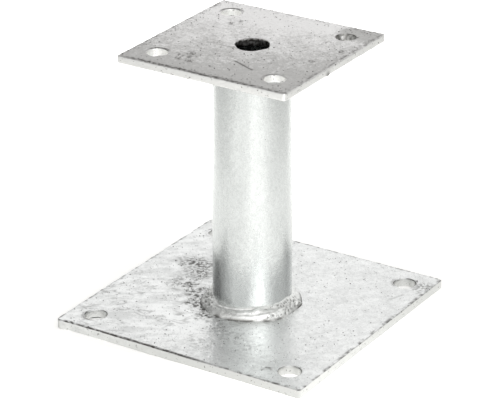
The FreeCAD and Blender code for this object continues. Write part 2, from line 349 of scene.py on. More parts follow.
# A rough weld, which holds a thick coat. It gives the eye a chalky white with dark pores.
zinc_on_weld = zinc("hot_dip_zinc_on_weld", pale="FDFEFC", dull="EEEFEC", rim="FDFEFC",
                    speck_and_shade="5B5955", cloud=5, mottle=1.6, grain=0.9, shine=0.36, dullness=0.52,
                    rise=0.28, specks=0.64)
print("finishes:", [m.name for m in (zinc_on_base, zinc_on_head, zinc_on_tube, zinc_on_weld)])

# %% [markdown]
# ## Relief
#
# The coat's unevenness is a height over the plain surface, in millimetres, that depends on the
# place alone. So it can be worked out for every point of a mesh, wherever the point lies, and
# neighbouring faces agree at their common edge. A displacement texture could do the same, but marks
# that sit in one place, such as a scratch, are easier to write as small functions.

# %% Noise and marks
def bumps(points, width, seed):
    """Smooth noise between -1 and 1 at each point, with bumps of about that width in millimetres."""
    shift = Vector((17.3 * seed, -7.1 * seed, 3.7 * seed))
    return np.array([noise.noise(Vector(p) / width + shift) for p in points])


def spot(points, centre, reach, power=2):
    """1 at the centre, falling to 0 at the reach. Both are (x, y) in millimetres."""
    away = np.hypot((points[:, 0] - centre[0]) / reach[0], (points[:, 1] - centre[1]) / reach[1])
    return np.clip(1 - away, 0, 1) ** (1 / power) * (away < 1)


def groove(points, start, end, width):
    """1 on the line from start to end, falling to 0 at that width to either side."""
    start, end = np.array(start), np.array(end)
    way = end - start
    share = np.clip(((points[:, :2] - start) @ way) / (way @ way), 0, 1)
    nearest = start + share[:, None] * way
    away = np.hypot(*(points[:, :2] - nearest).T)
    return np.exp(-(away / width) ** 2)


def crater(points, centre, radius):
    """(ring, pit) of a burst bubble of gas: its raised ring and its hollow, both from 0 to 1."""
    away = np.hypot(points[:, 0] - centre[0], points[:, 1] - centre[1]) / radius
    return np.exp(-((away - 1) / 0.28) ** 2), np.exp(-(away / 0.5) ** 4)


def turn_between(angles, other):
    """Difference of two angles in degrees, from -180 to 180."""
    return (angles - other + 180) % 360 - 180


print("noise at the origin:", round(float(bumps([(0.5, 0.5, 0.5)], 1, 1)[0]), 3))

# %% [markdown]
# ## Plates
#
# A dipped plate is a flat sheet with soft edges. The mesh starts from its edge lines: the outline
# and one loop round each hole. A quarter-round carries every loop from the face down to the wall,
# and another one to the underside. Between the loops, both faces are filled with a fine net of
# points, joined by a Delaunay triangulation, which keeps the triangles even. The fine net then
# carries the relief.

# %% Edge loops
def square_loop(half, corners, step):
    """(points, outward normals) along a square.

    corners are the radii after its +X, +Y, -X and -Y sides.
    """
    points, normals = [], []
    for quarter, corner in enumerate(corners):
        turn = math.pi / 2 * quarter
        facing = np.array([math.cos(turn), math.sin(turn)])
        along = np.array([-math.sin(turn), math.cos(turn)])
        start = corners[quarter - 1] - half
        side = round((half - corner - start) / step)
        arc = round(corner * math.pi / 2 / step) + 4
        for i in range(side):
            points.append(facing * half + along * (start + (half - corner - start) * i / side))
            normals.append(facing)
        for i in range(arc):
            angle = turn + math.pi / 2 * i / arc
            normal = np.array([math.cos(angle), math.sin(angle)])
            points.append((facing + along) * (half - corner) + normal * corner)
            normals.append(normal)
    return np.array(points), np.array(normals)


def hole_loop(centre, radius, step):
    """The same for a round hole. Its normals point out of the metal, to the hole's centre."""
    count = round(2 * math.pi * radius / step)
    angles = 2 * math.pi * np.arange(count) / count
    normals = -np.column_stack([np.cos(angles), np.sin(angles)])
    return np.array(centre) - normals * radius, normals


loop, _ = hole_loop((0, 0), 6, 0.8)
print("a 12 mm hole gets", len(loop), "points")


# %% Net between the loops
FLAT = (1.3, 1.0)  # two loops on the face keep the net this far, in mm, behind the wall


def fill_net(loops, half, holes, step, seed):
    """Points inside the outline and outside the holes, and the triangles that join them all."""
    random = np.random.default_rng(seed)
    rows = np.arange(-half, half, step * math.sqrt(3) / 2)
    columns = np.arange(-half, half, step)
    net = np.array([(x + step / 2 * (r % 2), y) for r, y in enumerate(rows) for x in columns])
    net += random.uniform(-0.12, 0.12, net.shape) * step
    gap = FLAT[0] + 0.6 * step
    inside = np.abs(net).max(axis=1) < half - gap
    for centre, radius in holes:
        inside &= np.hypot(net[:, 0] - centre[0], net[:, 1] - centre[1]) > radius + gap
    net = net[inside]
    points = [Vector(p) for p in np.vstack(loops + [net])]
    edges, first = [], 0
    for loop in loops:
        edges += [(first + i, first + (i + 1) % len(loop)) for i in range(len(loop))]
        first += len(loop)
    keep_inside = 1
    _, _, faces, origins, _, _ = geometry.delaunay_2d_cdt(points, edges, [], keep_inside, 1e-6)
    triangles = []
    for face in faces:
        middle = sum((points[origins[v][0]] for v in face), Vector((0, 0))) / 3
        if all((middle - Vector(centre)).length > radius for centre, radius in holes):
            triangles.append([origins[v][0] for v in face])
    return net, triangles


net, triangles = fill_net([loop], 6, [], 0.8, 1)
print("a 12 mm disc gets", len(triangles), "triangles")


# %% Plate mesh
QUARTER = np.radians([0, 22, 45, 68, 90])  # tilts of the loops round a rolled edge
ROLL, ROLL_WAVE = 0.50, 0.25  # mm: radius of that edge, and how much it varies
COARSER = 2.2  # the net of the underside, beside that of the top


def finished(mesh, marks):
    """Stores the marks as attributes of a mesh, turns its faces outwards and shades it smooth."""
    for name, values in marks.items():
        layer = mesh.attributes.new(name, "FLOAT", "POINT")
        layer.data.foreach_set("value", values.astype(np.float32))
    shape = bmesh.new()
    shape.from_mesh(mesh)
    bmesh.ops.recalc_face_normals(shape, faces=shape.faces)
    shape.to_mesh(mesh)
    shape.free()
    mesh.shade_smooth()
    return mesh


def plate_mesh(name, low, high, corners, holes, step, relief, seed, softer=lambda points: 0):
    """A dipped plate with rounded edges. holes is a list of (centre, radius); relief gives heights.

    softer tells how much wider the rolled edge is at each place.
    """
    half, top, thickness = high[0], high[2], high[2] - low[2]
    loops = [square_loop(half, corners, 0.9)]
    loops += [hole_loop(centre, radius, 0.8) for centre, radius in holes]
    points, normals, faces, rims = [], [], [], {"top": [], "under": []}
    first = 0
    for outline, outward in loops:
        here = np.column_stack([outline, np.full(len(outline), top)])
        roll = np.clip(ROLL + ROLL_WAVE * bumps(here, 7, seed) + softer(here), 0.2, 0.95)
        roll = roll.reshape(-1, 1)
        # each ring is (distance behind the wall, depth below the face, tilt of its normal)
        upper = [(roll * 0 + back, roll * 0, 0) for back in FLAT]
        upper += [(roll * (1 - math.sin(t)), roll * (1 - math.cos(t)), t) for t in QUARTER]
        wall = [(roll * 0, roll + (thickness - 2 * roll) * share, math.pi / 2)
                for share in (0.25, 0.5, 0.75)]
        lower = [(i, thickness - d, math.pi - t) for i, d, t in reversed(upper)]
        rings = upper + wall + lower
        count = len(outline)
        rims["top"].append((first, outline - outward * FLAT[0]))
        for number, (inwards, down, tilt) in enumerate(rings):
            ring = outline - outward * inwards
            points.append(np.column_stack([ring, top - down]))
            upright = np.full(count, math.cos(tilt))
            normals.append(np.column_stack([outward * math.sin(tilt), upright]))
            if number:
                for i in range(count):
                    a, b = first + i, first + (i + 1) % count
                    faces.append((a - count, b - count, b, a))
            first += count
        rims["under"].append((first - count, outline - outward * FLAT[0]))
    for side, z, normal, gap in (("top", top, 1, step), ("under", low[2], -1, COARSER * step)):
        net, triangles = fill_net([rim for _, rim in rims[side]], half, holes, gap, seed)
        index = np.concatenate([np.arange(start, start + len(rim)) for start, rim in rims[side]]
                               + [np.arange(first, first + len(net))])
        points.append(np.column_stack([net, np.full(len(net), z)]))
        normals.append(np.tile([0.0, 0.0, float(normal)], (len(net), 1)))
        faces += [tuple(int(index[v]) for v in triangle) for triangle in triangles]
        first += len(net)
    points, normals = np.vstack(points), np.vstack(normals)
    height, marks = relief(points, normals)
    points = points + normals * height[:, None]
    points[:, 2] = np.maximum(points[:, 2], low[2])
    mesh = bpy.data.meshes.new(name)
    mesh.from_pydata(points * MM, [], faces)
    # the rim colour, a painted light and shade, goes on walls and rolled edges only
    marks["edge"] = marks["edge"] * np.hypot(normals[:, 0], normals[:, 1])
    return finished(mesh, marks)


# %% [markdown]
# ## Pieces and holes
#
# Every mesh becomes a piece of the object in the same way. It rides on the one body that the object
# has, and stands for the CAD nodes that it replaces. The places and sizes of the bolt holes are read
# from the record, and those of the centre holes from the CAD nodes, so that the dressed plates have
# their holes exactly where the bolts need them.

# %% From a mesh to a piece
def as_piece(name, mesh, material, slot, *nodes):
    """Makes a piece from a mesh: it rides on the root body and replaces those CAD nodes."""
    piece = bpy.data.objects.new(name, mesh)
    mesh.materials.clear()
    mesh.materials.append(material)
    bpy.context.scene.collection.objects.link(piece)
    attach(piece, "root")
    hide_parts(*nodes)
    mesh.calc_loop_triangles()
    print(name, "has", len(mesh.loop_triangles), "triangles")
    return piece


# %% Holes of both plates
def corner_holes(mount, centre_radius):
    """(centre, radius) of a plate's four bolt holes, from the record, and of its centre hole."""
    dims = mounts[mount]["dims"]
    x, y, radius = dims["spacing_x_mm"] / 2, dims["spacing_y_mm"] / 2, dims["hole_r_mm"]
    return [((sx * x, sy * y), radius) for sx in (-1, 1) for sy in (-1, 1)] + [((0, 0), centre_radius)]


base_holes = corner_holes("anchor_bolts", innermost_mm("base_plate"))
head_holes = corner_holes("post_screws", innermost_mm("head_plate"))
for plate, holes in (("base", base_holes), ("head", head_holes)):
    print(plate, "plate: holes of", [round(2 * radius, 1) for _, radius in holes], "mm")


# %% [markdown]
# ## Marks on the base plate
#
# The zinc ran off this plate towards its left corner and froze there in long wrinkles. Dross settled
# beside the tube, and a drip burst beside the front hole. A dark line along the front left edge is
# painted shade, for the shade and dark reflection of its rolled edge, and so are the thin lines behind
# the other edges and rims, the dark crescents inside the holes and the right part of the front wall.
# Such marks could be sculpted by hand. Here each is a few lines that work on the place of a point, so
# one number moves or deepens it, and a finer net keeps it where it is.
#
# A relief gives the height of the coat and four shares: stain darkens the zinc, with real stains and
# with painted shade; tone dulls it, and in a few places paints shade and a reflection; dross is how
# crowded the pimples are; and edge is how much of the rim colour, a painted light and shade, a rolled
# edge or a wall gets.

# %% What both plates share
def collars(points, holes):
    """Zinc drains off a hole's rim last, so a low, uneven collar stays round it."""
    ring = sum(np.exp(-((np.hypot(points[:, 0] - c[0], points[:, 1] - c[1]) - r - 1.1) / 0.8) ** 2)
               for c, r in holes)
    return ring * (0.6 + 0.6 * bumps(points, 4, 5))


def lips(points, normals):
    """1 on the rolled edge between the top and a wall, and 0 elsewhere."""
    return np.clip(2 * normals[:, 2] * np.hypot(normals[:, 0], normals[:, 1]), 0, 1)


def behind_edge(points, normals, half, away, width):
    """1 on the top face along its outline, at that distance behind the wall."""
    inwards = half - np.maximum(np.abs(points[:, 0]), np.abs(points[:, 1]))
    return np.exp(-((inwards - away) / width) ** 2) * (normals[:, 2] > 0.2)


def behind_rim(points, centre, radius, middle, width, rough):
    """1 on a line 0.9 mm behind a hole's rim, round the side that faces the angle middle: the place
    of a line of painted shade.
    """
    x, y = points[:, 0] - centre[0], points[:, 1] - centre[1]
    ring = np.exp(-((np.hypot(x, y) - radius - 0.9) / 0.5) ** 2)
    turn = turn_between(np.degrees(np.arctan2(y, x)), middle)
    return ring * np.clip(1.2 - (turn / width) ** 2 + rough, 0, 1)


# %% Skin of the base plate
def base_wrinkles(points, drawn, face):
    """(height, wrinkle) where the zinc ran off. drawn holds the points, squeezed along the run."""
    run = np.clip(1.8 * spot(points, (-42, -40), (58, 46)), 0, 1) * face
    run *= np.clip(0.7 + 2.2 * bumps(points, 12, 8), 0, 1)
    wave = bumps(drawn + (0, 1, 0) * (3 * bumps(points, 9, 6)).reshape(-1, 1), 3.6, 7)
    wrinkle = run * np.exp(-(wave / 0.07) ** 2)
    return 0.35 * run * wave - 0.16 * wrinkle, wrinkle


def base_settled_dross(points, squat, face):
    """(height, smudge, pitted, pits): a dull smudge beside the tube, and long pits before it."""
    smudge = np.maximum(spot(points, (-48, 21), (17, 10), 1),
                        0.8 * spot(points, (-42, 12), (13, 11), 1)) * face
    pitted = (groove(points, (-39, -1), (-23, -18), 9) * face
              + 0.7 * spot(points, (-13, -29), (9, 9)) * face)
    pitted *= np.clip(0.7 + 1.6 * bumps(points, 6, 19), 0, 1)
    pitted += 0.2 * groove(points, (-8, -30), (30, -50), 7) * face
    pits = np.clip(1.5 * pitted, 0, 1) * np.clip(5.0 * bumps(squat, 1.5, 10) - 0.7, 0, 1)
    finer = np.clip(pitted, 0, 1) * np.clip(4 * bumps(squat, 1.1, 17) - 0.6, 0, 0.8)
    pits = np.maximum(pits, finer)
    height = smudge * 0.25 * bumps(points, 1.9, 9) + 0.25 * pitted * bumps(points, 2.6, 15)
    return height - 0.45 * pits, smudge, pitted, pits


grid = np.array([(x, y, base_high[2]) for x in range(-74, 75, 4) for y in range(-74, 75, 4)], float)
print(f"wrinkles darken {np.mean(base_wrinkles(grid, grid, 1)[1] > 0.3):.0%} of the base plate")


# %% Edges and holes of the base plate
# lines of painted shade behind the rims of two holes of the base plate
BASE_RIM_SHADE_LINES = [  # hole, angle of the line's middle, half width in degrees, share
    ((-60, -60), -118, 58, 1.0), ((60, 60), -150, 45, 0.6),
]
# painted shade inside each hole of the base plate: crescents at these angles round it
WALL_SHADE = [(36, 17, 0.75), (205, 24, 0.30), (88, 15, 0.20)]  # angle, half width, share


def hole_walls(points, normals, holes):
    """(inside, shade): 1 on the walls of the holes, and the painted shade on them."""
    inside, shade = np.zeros(len(points)), np.zeros(len(points))
    wall = np.hypot(normals[:, 0], normals[:, 1])
    for (cx, cy), radius in holes:
        here = (np.hypot(points[:, 0] - cx, points[:, 1] - cy) < radius + 0.2) * wall
        angles = np.degrees(np.arctan2(points[:, 1] - cy, points[:, 0] - cx))
        for middle, width, share in WALL_SHADE:
            fade = np.exp(-(turn_between(angles, middle) / width) ** 2)
            shade = np.maximum(shade, share * here * fade)
        inside = np.maximum(inside, here)
    return inside, shade


def base_edge_lines(points, normals, face):
    """Two masks of painted shade: a dark line along the front left edge, for the shade and dark
    reflection of its rolled edge, and thin lines behind the edges and behind two hole rims.
    """
    x, y = points[:, 0], points[:, 1]
    line = np.maximum(behind_edge(points, normals, base_high[0], 0.7, 0.7), lips(points, normals))
    front_edge_shade = line * (y < -72) * np.clip((30 - x) / 40, 0, 1) * np.clip((x + 71) / 3, 0, 1)
    ragged = np.clip(0.85 + 1.8 * bumps(points, 1.4, 13), 0.25 + 0.4 * (x > -45), 1)
    front_edge_shade = np.clip(1.6 * front_edge_shade, 0, 1) * ragged
    from_hole = np.min([np.hypot(x - cx, y - cy) - r for (cx, cy), r in base_holes], axis=0)
    near_hole = 0.35 * (from_hole < 1.5)
    edge_shade_lines = line * np.clip(0.15 + near_hole + 1.8 * bumps(points, 2.4, 16), 0, 0.8)
    rough = 0.6 * bumps(points, 1.5, 25)
    for centre, middle, width, share in BASE_RIM_SHADE_LINES:
        dark = behind_rim(points, centre, base_holes[0][1], middle, width, rough)
        edge_shade_lines = np.maximum(edge_shade_lines, face * share * dark)
    return front_edge_shade, edge_shade_lines


print(len(BASE_RIM_SHADE_LINES), "holes of the base plate have a dark line behind their rim")


# %% Relief of the base plate
def base_relief(points, normals):
    """Heights in millimetres, and the four shares."""
    face = np.clip(normals[:, 2], 0, 1)
    x, y = points[:, 0], points[:, 1]
    drawn = np.column_stack([(0.85 * x + 0.53 * y) / 3, 0.85 * y - 0.53 * x, points[:, 2]])
    squat = drawn * (2.3, 1, 1)

    # waves that grow finer and rougher towards the left
    coarse = np.clip(0.5 - 0.009 * x, 0.25, 1)
    height = 0.10 * bumps(points, 26, 1) + 0.07 * bumps(points, 9, 2)
    height += coarse * (0.08 * bumps(points, 3.8, 3) + 0.07 * bumps(points, 1.9, 4)
                        + 0.04 * bumps(points, 1.3, 23))
    height += 0.10 * collars(points, base_holes) * face
    rise, wrinkle = base_wrinkles(points, drawn, face)
    height += rise
    rise, smudge, pitted, pits = base_settled_dross(points, squat, face)
    height += rise

    # single marks: rough patches, a burst drip beside the front hole and a gouge by the right one
    patch = spot(points, (71, 60), (7, 8)) * face
    crumpled = spot(points, (3, -58), (9, 8)) * face
    height += (0.30 * patch * np.abs(bumps(points, 1.7, 11))
               + 0.40 * crumpled * np.abs(bumps(squat, 2.0, 24)))
    ring, _ = crater(points, (49, -64.6), 2.2)
    ring = ring * (x - 2 * y < 179.5) * face
    gouge = groove(points, (63, 39), (66, 47.3), 0.8) * face
    height += 0.30 * ring - 0.12 * gouge

    # edges with their lines of painted shade, up to a lump on the left corner where the front line ends
    front_edge_shade, edge_shade_lines = base_edge_lines(points, normals, face)
    lump = np.clip(1 - np.hypot(x + 72, y + 75) / 5, 0, 1)
    height += 1.0 * lump * np.clip(-normals[:, 1] - 0.5 * normals[:, 0], 0, 1)
    inside, shade = hole_walls(points, normals, base_holes)
    # painted shade on the right part of the front wall
    facing_front = np.clip(-normals[:, 1], 0, 1) * (y < -74)
    front_wall_shade = 0.15 * np.clip((x + 30) / 60, 0, 1) * facing_front
    corner = 0.6 * (np.hypot(x + 75, y + 75) < 3.2) * np.clip(-1.5 * normals[:, 0], 0, 1)

    # real marks and painted shade together: the edge lines, the front wall and the hole walls are
    # painted shade
    stain_and_shade = np.maximum.reduce([
        0.9 * pits, 0.45 * wrinkle, 0.98 * front_edge_shade, 0.3 * gouge, edge_shade_lines, front_wall_shade, corner, shade,
        patch * np.clip(0.3 + 2 * bumps(points, 1.5, 20), 0, 0.7),
        np.clip(1.3 * smudge, 0, 1) * np.clip(0.35 + 3.5 * bumps(points, 1.5, 12), 0, 0.9),
        0.75 * ring * (bumps(points, 1.5, 18) > -0.2),
        0.35 * crumpled * (bumps(squat, 1.6, 26) > 0.15),
    ])
    tone = -0.04 + 0.0005 * x + 0.95 * smudge + 0.25 * pitted + 0.10 * bumps(points, 30, 14)
    tone -= 0.35 * spot(points, (-15, -46), (30, 26))
    tone += 0.45 * spot(points, (-36, -58), (26, 16)) * np.clip(2 * bumps(drawn, 6, 21) + 0.3, 0, 1)
    # the lighter spot round (33, -37) is a painted reflection of the tube on the plate
    tone += 0.35 * coarse * bumps(drawn, 3.4, 22) - 0.30 * spot(points, (33, -37), (24, 20))
    tone += 0.12 * spot(points, (-50, 12), (34, 30))
    dross = face * (0.06 + 0.12 * coarse) + smudge + pitted + patch
    dross = dross + 0.5 * groove(points, (6, -36), (22, -50), 6) * face
    # edge gives walls and rolled edges the rim colour, a painted shade, more of it towards the right;
    # the hole walls on the left and at the back get less of it and keep the paler colour of the face
    hidden = inside * ((x < 0) | (y > 0))  # the walls that keep the colour of the face
    edge = 0.9 * np.clip(1 + x / 110, 0.4, 1) * (1 - 0.7 * hidden)
    return height, {"stain_and_shade": stain_and_shade, "tone": tone, "dross": dross, "edge": edge}


# %% The base plate
BASE_CORNERS = (1.6, 1.8, 3.4, 1.6)  # radii in millimetres; the third is the lump


def base_softer(points):
    """How much wider the rolled edge is round two of the holes."""
    return 0.4 * spot(points, (-65, -61), (8, 8)) - 0.3 * spot(points, (60, -60), (9, 9))


BASE_STEP, BASE_SEED = 0.7, 21  # mm between the points of its net, and how they are shuffled
mesh = plate_mesh("base_plate_zinc", base_low, base_high, BASE_CORNERS, base_holes, BASE_STEP,
                  base_relief, BASE_SEED, base_softer)
base_plate = as_piece("base_plate_zinc", mesh, zinc_on_base, "galvanised_plate", "base_plate")

# %% [markdown]
# ## Marks on the head plate
#
# The head plate is smaller, duller and smoother. Gas burst through its coat in a few bubbles, dross
# gathered behind its front left edge, a drip froze on the right one, and a tool scratched it. Painted
# shade darkens the walls of the centre hole and the right hole, a band behind the front left edge and
# thin lines behind the edges and rims, and the plate is painted darker towards its front and right
# and lighter along its back. Its marks are made in the same way as those of the base plate, so both
# plates look as if they came out of one bath.

# %% Edges and holes of the head plate
BUBBLES = [  # centre and radius in millimetres
    ((-18, -32), 2.4), ((-21.5, -35.5), 1.3), ((-15, -36), 1.3), ((-20, -27), 1.6),
    ((-24.5, -31), 1.1), ((-26, 21), 1.2), ((-24, 26), 1.0), ((38, -4), 1.1), ((44, 16), 1.3),
]
# lines of painted shade behind the rims of three holes of the head plate
HEAD_RIM_SHADE_LINES = [  # hole, angle of the line's middle, half width in degrees, share
    ((-35, -35), 105, 62, 1.7), ((-35, 35), 125, 80, 1.6), ((35, -35), 150, 50, 0.9),
]


def head_edge_lines(points, normals, face):
    """Two masks: a speckled band of painted shade behind the front left edge, where dross also crowds,
    and thin lines of painted shade behind the edges and behind three hole rims.
    """
    x, y = points[:, 0], points[:, 1]
    front = (np.exp(-((y + 48.5) / 1.0) ** 2) * face * np.clip((x + 50) / 14, 0.15, 1)
             * np.clip(1 - x / 70, 0.5, 1))
    line = behind_edge(points, normals, head_high[0], 1.3, 0.7) * (y < 45)
    edge_shade_lines = line * np.clip(0.05 + 2 * bumps(points, 2.4, 40), 0, 0.7)
    rough = 0.6 * bumps(points, 1.5, 44)
    for centre, middle, width, share in HEAD_RIM_SHADE_LINES:
        dark = share * behind_rim(points, centre, head_holes[0][1], middle, width, rough)
        edge_shade_lines = np.maximum(edge_shade_lines, face * np.clip(dark, 0, 1))
    return front, edge_shade_lines


print(len(BUBBLES), "burst bubbles on the head plate")


# %% Relief of the head plate
def head_relief(points, normals):
    """Heights in millimetres, and the four shares."""
    face = np.clip(normals[:, 2], 0, 1)
    wall = np.hypot(normals[:, 0], normals[:, 1])
    x, y, above = points[:, 0], points[:, 1], points[:, 2] - head_low[2]
    height = 0.08 * bumps(points, 22, 31) + 0.06 * bumps(points, 8, 32)
    height += 0.06 * bumps(points, 3.4, 33)
    height += 0.05 * bumps(points, 1.8, 34) + 0.03 * bumps(points, 1.2, 42)
    height += 0.14 * collars(points, head_holes) * face

    # burst bubbles, a scratch and a crease
    bubbled = np.zeros(len(points))
    for centre, radius in BUBBLES:
        ring, hollow = crater(points, centre, radius)
        outer, _ = crater(points, centre, 1.35 * radius)
        height += (0.30 * ring - 0.25 * hollow) * face
        dark = (0.6 * hollow + 0.7 * outer * (bumps(points, 1.5, 39) > 0.02)) * face
        bubbled = np.maximum(bubbled, dark)
    scratch = groove(points, (5, -24.4), (19, -30.4), 0.55) * face
    crease = groove(points, (-21.4, -8.7), (-5, -8.7), 0.5) * face
    height += 0.10 * crease - 0.15 * scratch

    # dross along the edges with painted shade behind them, and a drip that froze on the right wall
    front, edge_shade_lines = head_edge_lines(points, normals, face)
    border = np.clip((np.maximum(np.abs(x), np.abs(y)) - 44) / 5, 0, 1) * face
    height += 0.12 * border * np.abs(bumps(points, 2.2, 37))
    drip = np.exp(-((y + 8.7) / 1.6) ** 2 - ((above - 0.8) / 1.3) ** 2) * (x > 45)
    height += 0.55 * drip

    # painted shade on the walls of the centre hole and of the right hole, and a run of zinc on the far
    # side of the right one
    centre_hole_shade = (np.hypot(x, y) < 11) * np.clip(1.5 * wall, 0, 1)
    in_right_hole = (np.hypot(x - 35, y - 35) < 7) * wall
    right_hole_shade = np.clip(0.55 + 0.6 * bumps(points, 1.5, 43), 0.3, 0.8) * in_right_hole
    turn = turn_between(np.degrees(np.arctan2(y - 35, x - 35)), 122)
    run = np.exp(-(turn / 50) ** 2) * np.exp(-((above - 0.6) / 1.2) ** 2)
    height += 1.0 * run * (right_hole_shade > 0)

    # real marks and painted shade together: the edge lines, the band behind the front edge and the
    # walls of the centre and right holes are painted shade
    stain_and_shade = np.maximum.reduce([
        bubbled, scratch, 0.35 * crease, edge_shade_lines, right_hole_shade, 0.7 * drip,
        centre_hole_shade * np.clip(0.8 + 1.3 * bumps(points, 1.3, 41), 0.5, 1),
        np.clip(1.5 * front * (0.75 + 2.2 * bumps(points, 1.6, 36)), 0.2 * front, 1),
        0.6 * border * np.clip(2.4 * bumps(points, 1.6, 38) - 0.4, 0, 1),
    ])
    # Painted shade and light: darker towards the right side and the front, with a darker band just
    # behind the front left edge, and lighter along the back. There is also a darker smudge behind the
    # right hole.
    tone = -0.04 + 0.005 * np.maximum(x, 0) - 0.007 * y + 0.06 * np.clip((-22 - y) / 22, 0, 1)
    tone += 0.30 * np.exp(-((y + 47) / 2.5) ** 2) * np.clip((x + 50) / 14, 0, 1)
    tone += (1.3 * groove(points, (34, 43), (47, 41), 6)
             - 0.35 * groove(points, (-20, 46), (20, 46), 12))
    dross = 0.16 * face + 0.6 * border + 0.5 * front
    # edge gives every wall and rolled edge the near-white rim colour, a painted highlight
    return height, {"stain_and_shade": stain_and_shade, "tone": tone * face, "dross": dross,
                    "edge": np.full(len(points), 0.9)}


# %% The head plate
HEAD_CORNERS = (1.6, 1.6, 1.6, 1.5)  # radii in millimetres


def head_softer(points):
    """The rolled edge is narrower round the right hole."""
    return -0.3 * spot(points, (35, 35), (9, 9))


HEAD_STEP, HEAD_SEED = 0.6, 22  # mm between the points of its net, and how they are shuffled
mesh = plate_mesh("head_plate_zinc", head_low, head_high, HEAD_CORNERS, head_holes, HEAD_STEP,
                  head_relief, HEAD_SEED, head_softer)
head_plate = as_piece("head_plate_zinc", mesh, zinc_on_head, "galvanised_plate", "head_plate")

# %% [markdown]
# ## Tube
#
# A tube is a ring of one rectangular section, so Geometry Nodes sweep that rectangle round a
# circle. The dip left shallow runs down its side, which are noise that is stretched along Z, and
# small pimples, which are finer noise. Both push the points out along their normals.

# %% A tree that runs once and leaves a plain mesh
def new_tree(name, *sockets):
    """An empty Geometry Nodes tree with those (name, kind) inputs and one geometry output."""
    tree = bpy.data.node_groups.new(name, "GeometryNodeTree")
    for label, kind in sockets:
        tree.interface.new_socket(label, in_out="INPUT", socket_type=f"NodeSocket{kind}")
    tree.interface.new_socket("Geometry", in_out="OUTPUT", socket_type="NodeSocketGeometry")
    return tree, add(tree, "NodeGroupInput").outputs


def close_tree(tree, result, finish):
    """Ends a tree: instances become real, and the mesh gets its finish and smooth shading."""
    real = add(tree, "GeometryNodeRealizeInstances", {0: result})
    painted = add(tree, "GeometryNodeSetMaterial", {"Geometry": real.outputs[0], "Material": finish})
    smooth = add(tree, "GeometryNodeSetShadeSmooth", {"Geometry": painted.outputs[0]})
    add(tree, "NodeGroupOutput", {0: smooth.outputs[0]})


def grow(name, tree, values, source=None):
    """Runs a tree on a copy of a mesh, or on nothing, and returns the result as a plain mesh."""
    carrier = bpy.data.objects.new(name, source or bpy.data.meshes.new(name))
    bpy.context.scene.collection.objects.link(carrier)
    modifier = carrier.modifiers.new(name, "NODES")
    modifier.node_group = tree
    for socket in tree.interface.items_tree:
        if socket.in_out == "INPUT" and socket.name in values:
            modifier[socket.identifier] = values[socket.name]
    evaluated = carrier.evaluated_get(bpy.context.evaluated_depsgraph_get())
    mesh = bpy.data.meshes.new_from_object(evaluated)
    bpy.data.objects.remove(carrier)
    mesh.name = name
    return mesh


print("trees are converted to meshes, so no modifier is left on a piece")

# %% Tube tree
ROW, RUN, PIMPLE = 1.3 * MM, 7 * MM, 1.8 * MM  # between rows, and the widths of both patterns

tree, given = new_tree("dipped_tube", ("Outside radius", "Float"), ("Bore radius", "Float"),
                       ("Foot", "Float"), ("Length", "Float"), ("Run height", "Float"),
                       ("Pimple height", "Float"), ("Finish", "Material"))
radii = {0: given["Outside radius"], 1: given["Bore radius"]}
wall = add(tree, "ShaderNodeMath", radii, operation="SUBTRACT")
both = add(tree, "ShaderNodeMath", radii, operation="ADD")
middle_radius = add(tree, "ShaderNodeMath", {0: both.outputs[0], 1: 0.5}, operation="MULTIPLY")
ring = add(tree, "GeometryNodeCurvePrimitiveCircle",
           {"Resolution": 220, "Radius": middle_radius.outputs[0]})
section = add(tree, "GeometryNodeCurvePrimitiveQuadrilateral",
              {"Width": wall.outputs[0], "Height": given["Length"]})
rows = add(tree, "GeometryNodeResampleCurve", {"Curve": section.outputs[0], "Length": ROW},
           mode="LENGTH")
swept = add(tree, "GeometryNodeCurveToMesh",
            {"Curve": ring.outputs[0], "Profile Curve": rows.outputs[0]})
half_length = add(tree, "ShaderNodeMath", {0: given["Length"], 1: 0.5, 2: given["Foot"]},
                  operation="MULTIPLY_ADD")
lift = add(tree, "ShaderNodeCombineXYZ", {"Z": half_length.outputs[0]})
stood = add(tree, "GeometryNodeTransform",
            {"Geometry": swept.outputs[0], "Translation": lift.outputs[0]})
place = add(tree, "GeometryNodeInputPosition").outputs[0]
drawn_out = add(tree, "ShaderNodeVectorMath", {0: place, 1: (1, 1, 0.2)}, operation="MULTIPLY")
runs = add(tree, "ShaderNodeTexNoise",
           {"Vector": drawn_out.outputs[0], "Scale": 1 / RUN, "Detail": 2.0}, normalize=False)
pimples = add(tree, "ShaderNodeTexNoise", {"Vector": place, "Scale": 1 / PIMPLE, "Detail": 1.0},
              normalize=False)
run_part = add(tree, "ShaderNodeMath", {0: runs.outputs["Fac"], 1: given["Run height"]},
               operation="MULTIPLY")
rise = add(tree, "ShaderNodeMath", {0: pimples.outputs["Fac"], 1: given["Pimple height"],
           2: run_part.outputs[0]}, operation="MULTIPLY_ADD")
outwards = add(tree, "ShaderNodeVectorMath", {0: add(tree, "GeometryNodeInputNormal").outputs[0],
               "Scale": rise.outputs[0]}, operation="SCALE")
moved = add(tree, "GeometryNodeSetPosition",
            {"Geometry": stood.outputs[0], "Offset": outwards.outputs[0]})
close_tree(tree, moved.outputs[0], given["Finish"])
print("tube tree has", len(tree.nodes), "nodes")

# %% The tube
foot = base_high[2]
mesh = grow("tube_zinc", tree, {
    "Outside radius": tube_radius * MM, "Bore radius": tube_bore * MM, "Foot": foot * MM,
    "Length": (head_low[2] - foot) * MM, "Run height": 0.06 * MM, "Pimple height": 0.05 * MM,
    "Finish": zinc_on_tube})
as_piece("tube_zinc", mesh, zinc_on_tube, "galvanised_tube", "tube")

# %% [markdown]
# ## Welds
#
# The bead follows the foot of the tube, so Geometry Nodes sweep a round section along that circle.
# The part of the section that would stick into the steel is squared off, out of sight. Then the
# bead is modelled, as in wax: at each place round the tube it gets its own two legs, and a
# few creases, lumps and pits are pressed into it.

